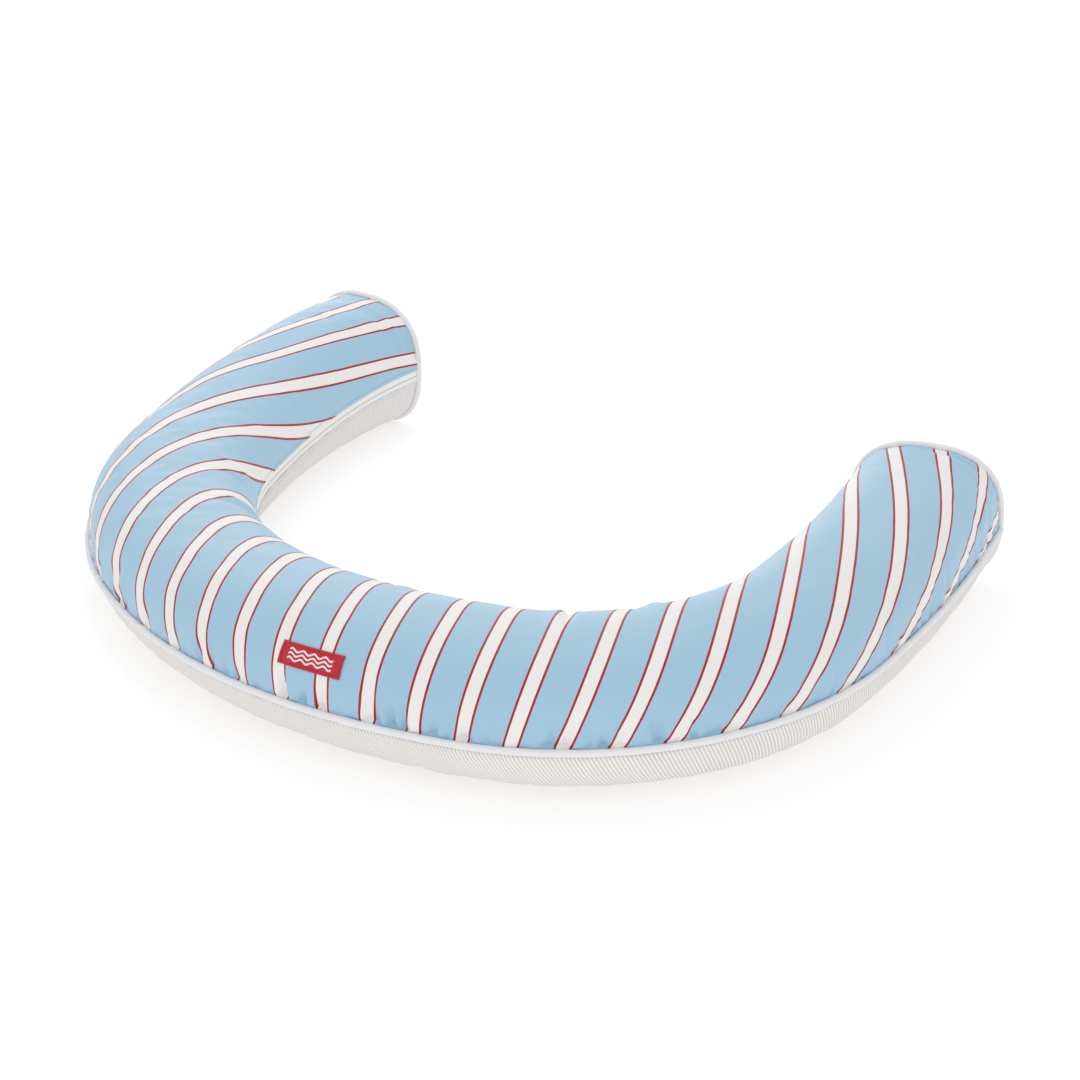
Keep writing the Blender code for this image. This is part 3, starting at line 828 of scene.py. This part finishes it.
def base_edges(s):
    return girth_at(s, pi - angle_at(s, lower_edge_height(s))), \
        girth_at(s, 2 * pi + angle_at(s, seam_height(s) - EDGE_FROM_SEAM))


def top_slack(s, girth, edges):
    """The top cover is gathered most along its outer seam, at the right end and in the bends."""
    first, last = edges(s)
    near_seam = np.exp(-(first[:, None] - girth) / 0.030)
    near_zip = np.exp(-(girth - last[:, None]) / 0.050)
    bends = np.exp(-((s - 0.66) / 0.08) ** 2) + np.exp(-((s - 1.27) / 0.10) ** 2)
    tips = np.exp(-(LENGTH - s) / 0.10) + 0.5 * np.exp(-s / 0.04)
    slack = 0.25 + 0.40 * near_seam + 0.5 * bends[:, None] * near_zip
    return np.clip(slack + 0.5 * tips[:, None] * near_seam, 0, 1)


def base_slack(s, girth, edges):
    return np.clip(0.2 + 0.4 * np.exp(-(girth - edges(s)[1][:, None]) / 0.03), 0, 1)


def valley(distance, width, depth):
    return -depth * np.exp(-(distance / width) ** 2)


def rim_distance(s):
    return np.minimum(s, LENGTH - s)


def top_lift(s, girth):
    """Height of seams, gathers and folds over the smooth top cover."""
    first, last = top_edges(s)
    s = np.broadcast_to(s[:, None], girth.shape)
    from_seam, from_zip = first[:, None] - girth, girth - last[:, None]
    lift = valley(from_seam, SEAM_VALLEY, 0.0014) + valley(rim_distance(s), SEAM_VALLEY, 0.0014)
    lift += puckers(s, from_seam, SEAM_BUSY, 23)
    lift += seam_gathers(s, from_seam, 31, 0.0050, 0.006, 0.0009)
    lift += seam_gathers(girth, rim_distance(s), 41, 0.0095, 0.016, 0.0011)
    opening = zip_opening(s)
    stitched = np.exp(-((from_zip - TOP_ZIP_STITCH) / 0.0012) ** 2)
    lift += opening * (0.0009 * (1 - eased((from_zip - 0.006) / 0.014)) - 0.0004 * stitched)
    lift += (1 - opening) * valley(from_zip, PLAIN_SEAM_VALLEY, 0.0026)
    free = 1 - opening * np.exp(-(from_zip / 0.008) ** 2)
    lift += seam_gathers(s, from_zip, 51, 0.0110, 0.016, 0.0009) * (1 - 0.6 * opening) * free
    for fold_line in TOP_FOLDS:
        lift += fold(s, girth, *fold_line)
    return lift + 0.0004 * soft_noise(s / 0.045, girth / 0.045, 61) * free


def base_lift(s, girth):
    first, last = base_edges(s)
    s = np.broadcast_to(s[:, None], girth.shape)
    from_zip, from_seam = first[:, None] - girth, girth - last[:, None]
    lift = valley(from_seam, SEAM_VALLEY, 0.0022) + valley(rim_distance(s), SEAM_VALLEY, 0.0018)
    lift += seam_gathers(s, from_seam, 71, 0.0120, 0.018, 0.0008)
    stitched = np.exp(-((from_seam - SEAM_STITCH) / 0.0010) ** 2)
    opening = zip_opening(s)
    lift -= 0.0004 * stitched
    lift += opening * 0.0011 * (1 - eased((from_zip - 0.0016) / 0.0030))
    lift += (1 - opening) * valley(from_zip, PLAIN_SEAM_VALLEY, 0.0024)
    return lift + 0.0002 * soft_noise(s / 0.05, girth / 0.04, 81)


def above_floor(points):
    points[..., 2] = np.maximum(points[..., 2], 0.0)
    return points


def make_cover(name, edges, slack, lift_of, pitch, columns, uv_of, rests, cap):
    """A cover: simulated movement, then seams and folds, then its turned edges."""
    shares = crowded(columns)
    s, girth = sheet_places(pitch, shares, edges)
    smooth = surface(s, girth)
    smooth = smooth + settle(edges, slack, shares, len(s), cap, STUFFING_PRESSURE, rests)
    normals = grid_normals(smooth)
    points = above_floor(smooth + normals * lift_of(s, girth)[..., None])
    uv = uv_of(np.broadcast_to(s[:, None], girth.shape), girth)
    rolled, rolled_uv = with_rolls(points, uv, normals)
    piece = grid_object(name, above_floor(rolled), rolled_uv)
    return piece, {"s": s, "shares": shares, "edges": edges, "points": points}


def on_cover(cover, s, girth, lift):
    """Points and normals a little above a finished cover, at places given by s and girth."""
    points = cover["points"]
    normals = grid_normals(points)
    row = (s - cover["s"][0]) / (cover["s"][1] - cover["s"][0])
    row = np.clip(row, 0, len(cover["s"]) - 1.001)
    flat_s, flat_girth = np.ravel(s), np.ravel(girth)
    first, last = cover["edges"](flat_s)
    share = (flat_girth - first) / (last - first)
    column = np.interp(share, cover["shares"], np.arange(len(cover["shares"])))
    column = np.clip(column, 0, len(cover["shares"]) - 1.001).reshape(np.shape(s))
    low_row, low_column = row.astype(int), column.astype(int)
    a, b = (row - low_row)[..., None], (column - low_column)[..., None]

    def pick(values):
        near = values[low_row, low_column] * (1 - b) + values[low_row, low_column + 1] * b
        far = values[low_row + 1, low_column] * (1 - b) + values[low_row + 1, low_column + 1] * b
        return near * (1 - a) + far * a
    normal = pick(normals)
    normal /= np.linalg.norm(normal, axis=-1, keepdims=True)
    return pick(points) + normal * lift, normal


def on_floor(points):
    return points[..., 2] < 0.001


def plain_uv(s, girth):
    return np.stack([s, girth], axis=-1)


top_piece, top = make_cover("top_cloth", top_edges, top_slack, top_lift, ROW_PITCH, TOP_COLUMNS,
                            pattern_uv, None, TOP_CREASE)
finish_piece(top_piece, striped_cloth, "striped_cloth", "top_cover")
base_piece, base = make_cover("base_mesh_cloth", base_edges, base_slack, base_lift,
                              BASE_ROW_PITCH, BASE_COLUMNS, plain_uv, on_floor, BASE_CREASE)
finish_piece(base_piece, spacer_mesh, "spacer_mesh", "base_cover")


# ---------------------------------------------------------------- end discs, piping and zip

def make_disc(name, s, direction, seed, node):
    """Domed cloth disc inside one end's piping; direction is 1 at the right end."""
    reach = np.linspace(1.0, 0.001, 30)[:, None]
    angle = direction * np.linspace(0, 2 * pi, 132, endpoint=False)[None, :]
    lengths = np.full(np.broadcast_shapes(reach.shape, angle.shape), s)
    outward, height = section(lengths, angle, DISC_INSET, reach, PIPING_RADIUS - DISC_INSET)
    points = place(lengths, outward, height)
    heading = centre_line(np.array([s]))[2][0]
    along = direction * np.array((np.cos(heading), np.sin(heading), 0.0))
    from_rim = (1 - reach) * 0.08
    gather = soft_noise(angle / 0.16 + 40, from_rim / 0.05, seed)
    bulge = END_BULGE * (1 - reach ** 2) + 0.0014 * gather * np.exp(-from_rim / 0.012)
    bulge += 0.0006 * soft_noise(outward / 0.03 + 9, height / 0.03, seed + 1)
    points += along * bulge[..., None]
    uv = np.stack([outward + 3 * s, height], axis=-1)
    piece = grid_object(name, points, wrap=True)
    lay_uv(piece, uv)
    finish_piece(piece, striped_cloth, "striped_cloth", node)


def seam_line(s):
    height = seam_height(s)
    outward = section(s, angle_at(s, height))[0]
    return place(s, outward + PIPING_PROUD, height)


def ring_line(s, count):
    angle = -pi / 2 + np.linspace(0, radians(359.6), count)
    outward, height = section(np.full(count, s), angle, lowest=PIPING_RADIUS + 0.0006)
    return place(np.full(count, s), outward, height)


def uneven(count, seed):
    """Piping radius along its length, with the slight waver of cloth drawn over a cord."""
    places = np.arange(count) / 3.0
    return PIPING_RADIUS * (1 + 0.035 * soft_noise(places, 0 * places, seed))


make_disc("end_disc_left_cloth", 0.0, -1, 91, "end_disc_left")
make_disc("end_disc_right_cloth", LENGTH, 1, 95, "end_disc_right")
seam_s = np.linspace(0.002, LENGTH - 0.002, 750)
outer_line = seam_line(seam_s)
outer_sleeve = tube_object("outer_piping_sleeve", outer_line, (0, 0, 1), uneven(750, 101), 14)
finish_piece(outer_sleeve, piping_cloth, "piping_cloth", "outer_piping")
for side, end_s, seed in (("left", 0.0, 111), ("right", LENGTH, 121)):
    heading = centre_line(np.array([end_s]))[2][0]
    arm = (np.cos(heading), np.sin(heading), 0.0)
    ring = tube_object(f"end_piping_{side}_sleeve", ring_line(end_s, 200), arm, uneven(200, seed), 14)
    finish_piece(ring, piping_cloth, "piping_cloth", f"end_piping_{side}")


def wall(s):
    """Distance from the centre line to the inner wall, at the zip's height."""
    return section(s, angle_at(s, zip_centre_height(s)))[0]


def make_tape(name, low, high, reach, seed, node):
    """Woven zip tape between two heights over the zip's centre, tucked under cloth past reach."""
    s = np.linspace(0.003, ZIP_END + 0.026, 330)
    heights = np.linspace(low, high, 12)
    lip = 0.0006 * np.exp(-(np.abs(heights) - TAPE_GAP) / 0.0004)
    tucked = 0.0016 * eased((np.abs(heights) - reach) / 0.0012)
    front = np.stack([heights, 0.0001 + lip + tucked], axis=-1)
    outline = np.concatenate([front, front[::-1] + (0.0, TAPE_SHEET)])
    wave = 0.00012 * soft_noise(s[:, None] / 0.009, outline[:, 0] / 0.004 + 20, seed)
    depth = outline[:, 1] + np.abs(wave) + TAPE_END_DEPTH * (1 - zip_opening(s))[:, None]
    height = zip_centre_height(s)[:, None] + outline[:, 0]
    lengths = np.broadcast_to(s[:, None], height.shape)
    points = place(lengths, depth - wall(s)[:, None], height)
    uv = np.stack([lengths, np.broadcast_to(outline[:, 0], height.shape)], axis=-1)
    piece = grid_object(name, points[:, ::-1], wrap=True)
    lay_uv(piece, uv[:, ::-1])
    finish_piece(piece, tape_cloth, "zip_tape", node)


upper_reach, lower_reach = UPPER_TAPE + TAPE_SLOT / 2, LOWER_TAPE + TAPE_SLOT / 2
make_tape("upper_tape_weave", TAPE_GAP, upper_reach + 0.003, upper_reach, 131, "zip_tape_upper")
make_tape("lower_tape_weave", -lower_reach - 0.003, -TAPE_GAP, lower_reach, 141, "zip_tape_lower")


# ---------------------------------------------------------------- stitches and label

def sew(name, cover, s, girth, look, slot):
    points, normals = on_cover(cover, s, girth, 0.00005)
    finish_piece(stitch_row(name, points, normals), look, slot)


zip_s = np.linspace(STITCHES_FROM_END, ZIP_END + 0.010, 500)
sew("upper_zip_stitches", top, zip_s, top_edges(zip_s)[1] + TOP_ZIP_STITCH, blue_thread, "striped_cloth")
sew("lower_zip_stitches", base, zip_s, base_edges(zip_s)[0] - BASE_ZIP_STITCH, white_thread, "spacer_mesh")
rim_s = np.linspace(STITCHES_FROM_END, LENGTH - STITCHES_FROM_END, 1200)
sew("outer_seam_stitches", base, rim_s, base_edges(rim_s)[1] + SEAM_STITCH, white_thread, "spacer_mesh")


def make_label():
    """Woven label sewn flat on the top cover, a little thick at its folded border."""
    across, up = np.linspace(-0.5, 0.5, 61), np.linspace(-0.5, 0.5, 29)
    s = (LABEL_FROM + LABEL_TO) / 2 + across * (LABEL_TO - LABEL_FROM)
    low = girth_at(s, np.full(len(s), LABEL_LOW))
    high = girth_at(s, np.full(len(s), LABEL_HIGH))
    girth = (low + high)[:, None] / 2 + (high - low)[:, None] * up
    lengths = np.broadcast_to(s[:, None], girth.shape)
    width, height = LABEL_TO - LABEL_FROM, float(np.mean(np.abs(high - low)))
    edge = np.minimum((0.5 - np.abs(across))[:, None] * width, (0.5 - np.abs(up)) * height)
    border = 0.0005 * (1 - eased((edge - LABEL_BORDER) / 0.0010))
    border -= 0.0004 * (1 - eased(edge / 0.0008))
    groove = 0.00025 * np.exp(-((edge - LABEL_GROOVE) / 0.0005) ** 2)
    lift = (LABEL_LIFT + border - groove)[..., None]
    points, normals = on_cover(top, lengths, girth, lift)
    uv = np.stack(np.broadcast_arrays(across[:, None] * width, up * height), axis=-1)
    piece = grid_object("label_ribbon", points, uv)
    solid = piece.modifiers.new("Thickness", "SOLIDIFY")
    solid.thickness = LABEL_THICKNESS
    solid.offset = -1
    finish_piece(piece, label_cloth, "label_weave", "woven_label")
    inset_s, inset_girth = 0.5 - LABEL_STITCH / width, 0.5 - LABEL_STITCH / height
    middle_s = (LABEL_FROM + LABEL_TO) / 2
    for index, (a, b) in enumerate((((-1, -1), (1, -1)), ((1, -1), (1, 1)),
                                    ((1, 1), (-1, 1)), ((-1, 1), (-1, -1)))):
        share = np.linspace(0, 1, 60)
        line_s = middle_s + width * inset_s * (a[0] + (b[0] - a[0]) * share)
        edge_low = girth_at(line_s, np.full(60, LABEL_LOW))
        edge_high = girth_at(line_s, np.full(60, LABEL_HIGH))
        place_up = inset_girth * (a[1] + (b[1] - a[1]) * share)
        line_girth = (edge_low + edge_high) / 2 + (edge_high - edge_low) * place_up
        points, normals = on_cover(top, line_s, line_girth, LABEL_STITCH_LIFT)
        thread = stitch_row(f"label_stitches_{index}", points, normals)
        finish_piece(thread, red_thread, "label_weave")


make_label()


# ---------------------------------------------------------------- carried-over CAD pieces

KEPT_LOOKS = {
    "outer_piping_cord": cotton_cord, "end_piping_left_cord": cotton_cord,
    "end_piping_right_cord": cotton_cord, "zip_coil_upper": nylon, "zip_coil_lower": nylon,
    "zip_bottom_stop": enamel, "zip_top_stop_upper": enamel, "zip_top_stop_lower": enamel,
    "zip_slider": enamel, "zip_pull_tab": enamel, "casing_upper": percale,
    "casing_lower": percale, "fibre_fill": loose_fibre,
}
for name, look in KEPT_LOOKS.items():
    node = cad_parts[name]
    node.data.materials.clear()
    node.data.materials.append(look)
for name in ("zip_slider", "zip_pull_tab", "zip_top_stop_upper", "zip_top_stop_lower",
             "zip_bottom_stop"):
    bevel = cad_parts[name].modifiers.new("Soft edges", "BEVEL")
    bevel.width = 0.00025
    bevel.segments = 3
    bevel.limit_method = "ANGLE"


# ---------------------------------------------------------------- floor, light and camera

def make_floor():
    """White studio floor that glows a little, as a white sweep lit on its own does."""
    mesh = bpy.data.meshes.new("studio_floor")
    size = 60.0
    mesh.from_pydata([(-size, -size, -0.0004), (size, -size, -0.0004), (size, size, -0.0004),
                      (-size, size, -0.0004)], [], [(0, 1, 2, 3)])
    floor = bpy.data.objects.new("studio_floor", mesh)
    bpy.context.scene.collection.objects.link(floor)
    paper = bpy.data.materials.new("white_sweep")
    paper.use_nodes = True
    shader = paper.node_tree.nodes["Principled BSDF"]
    shader.inputs["Base Color"].default_value = rgb(0.58, 0.58, 0.58)
    shader.inputs["Roughness"].default_value = 1.0
    shader.inputs["Specular IOR Level"].default_value = 0.0
    shader.inputs["Emission Color"].default_value = rgb(1.0, 1.0, 1.0)
    shader.inputs["Emission Strength"].default_value = 0.49
    mesh.materials.append(paper)


def make_light(name, location, target, size, power):
    lamp = bpy.data.lights.new(name, "AREA")
    lamp.shape = "DISK"
    lamp.size = size
    lamp.energy = power
    made = bpy.data.objects.new(name, lamp)
    made.location = location
    made.rotation_euler = (Vector(target) - Vector(location)).to_track_quat("-Z", "Y").to_euler()
    bpy.context.scene.collection.objects.link(made)


make_floor()
make_light("soft_key", (-0.7, 0.7, 2.7), (0.1, 0.0, 0.1), 1.8, 9.0)
make_light("back_wall", (-2.5, 3.1, 0.9), (0.2, 0.0, 0.1), 2.2, 17.0)
make_light("front_fill", (1.2, -2.3, 0.45), (0.0, -0.2, 0.05), 1.2, 4.0)
world = bpy.data.worlds.new("studio")
bpy.context.scene.world = world
world.use_nodes = True
world.node_tree.nodes["Background"].inputs["Color"].default_value = rgb(1.0, 1.0, 1.0)
world.node_tree.nodes["Background"].inputs["Strength"].default_value = 0.89

lens = bpy.data.cameras.new("camera")
lens.lens = 86.1
lens.sensor_width = 36.0
camera = bpy.data.objects.new("camera", lens)
camera.location = (1.3734, -2.2372, 1.2553)
camera.rotation_euler = (radians(65.66), 0.0, radians(30.02))
bpy.context.scene.collection.objects.link(camera)
bpy.context.scene.camera = camera
bpy.context.scene.view_settings.view_transform = "Standard"
